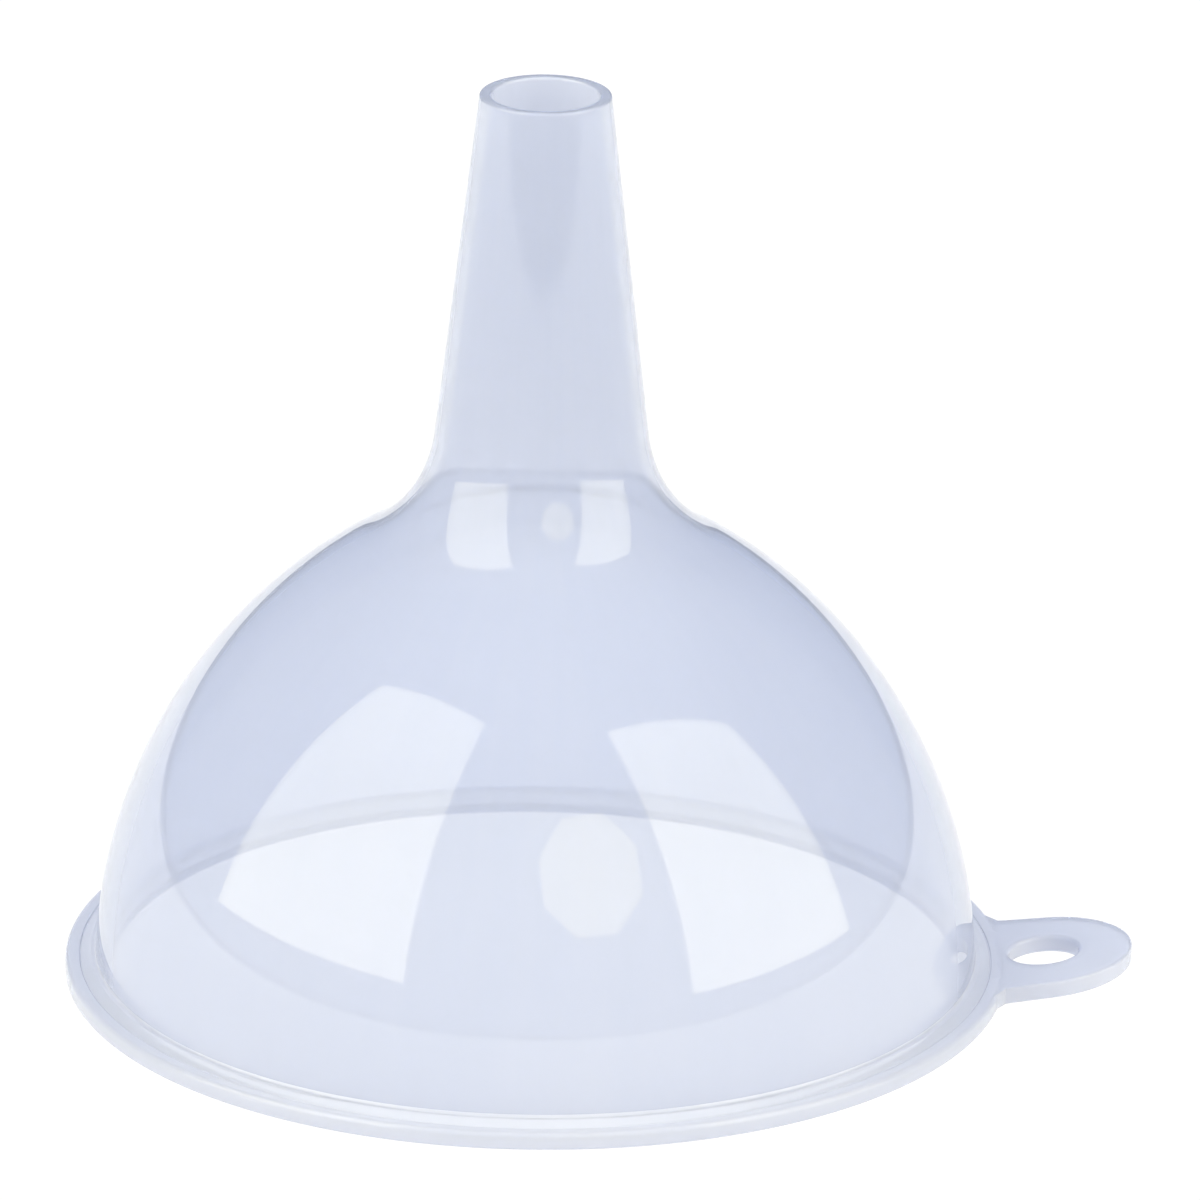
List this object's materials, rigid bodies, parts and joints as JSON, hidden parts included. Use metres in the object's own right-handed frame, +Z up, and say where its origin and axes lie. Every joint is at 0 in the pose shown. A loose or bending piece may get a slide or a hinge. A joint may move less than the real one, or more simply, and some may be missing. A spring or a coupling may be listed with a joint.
{
  "type": "canning funnel",
  "caption": "Translucent moulded plastic filling funnel with a domed bowl, tapered spout, flat flanged rim and a round-ended hang tab, for pouring into jars and bottles.",
  "frame": {"origin": "middle of the bounding box on the plane that the mouth rests on; the funnel's axis stands 8.1 mm to -X of it", "axes": "+Z up along the funnel's axis from the mouth to the spout's tip, +X towards the hang tab"},
  "size_m": [0.1362, 0.12, 0.1172],
  "materials": {
    "clear_polypropylene": "glossy, see-through with a faint milky blue cast"
  },
  "bodies": {
    "root": {"rim_bead": "clear_polypropylene", "rim_flange": "clear_polypropylene", "bowl": "clear_polypropylene", "shoulder": "clear_polypropylene", "spout": "clear_polypropylene", "hang_tab": "clear_polypropylene"}
  },
  "joints": []
}
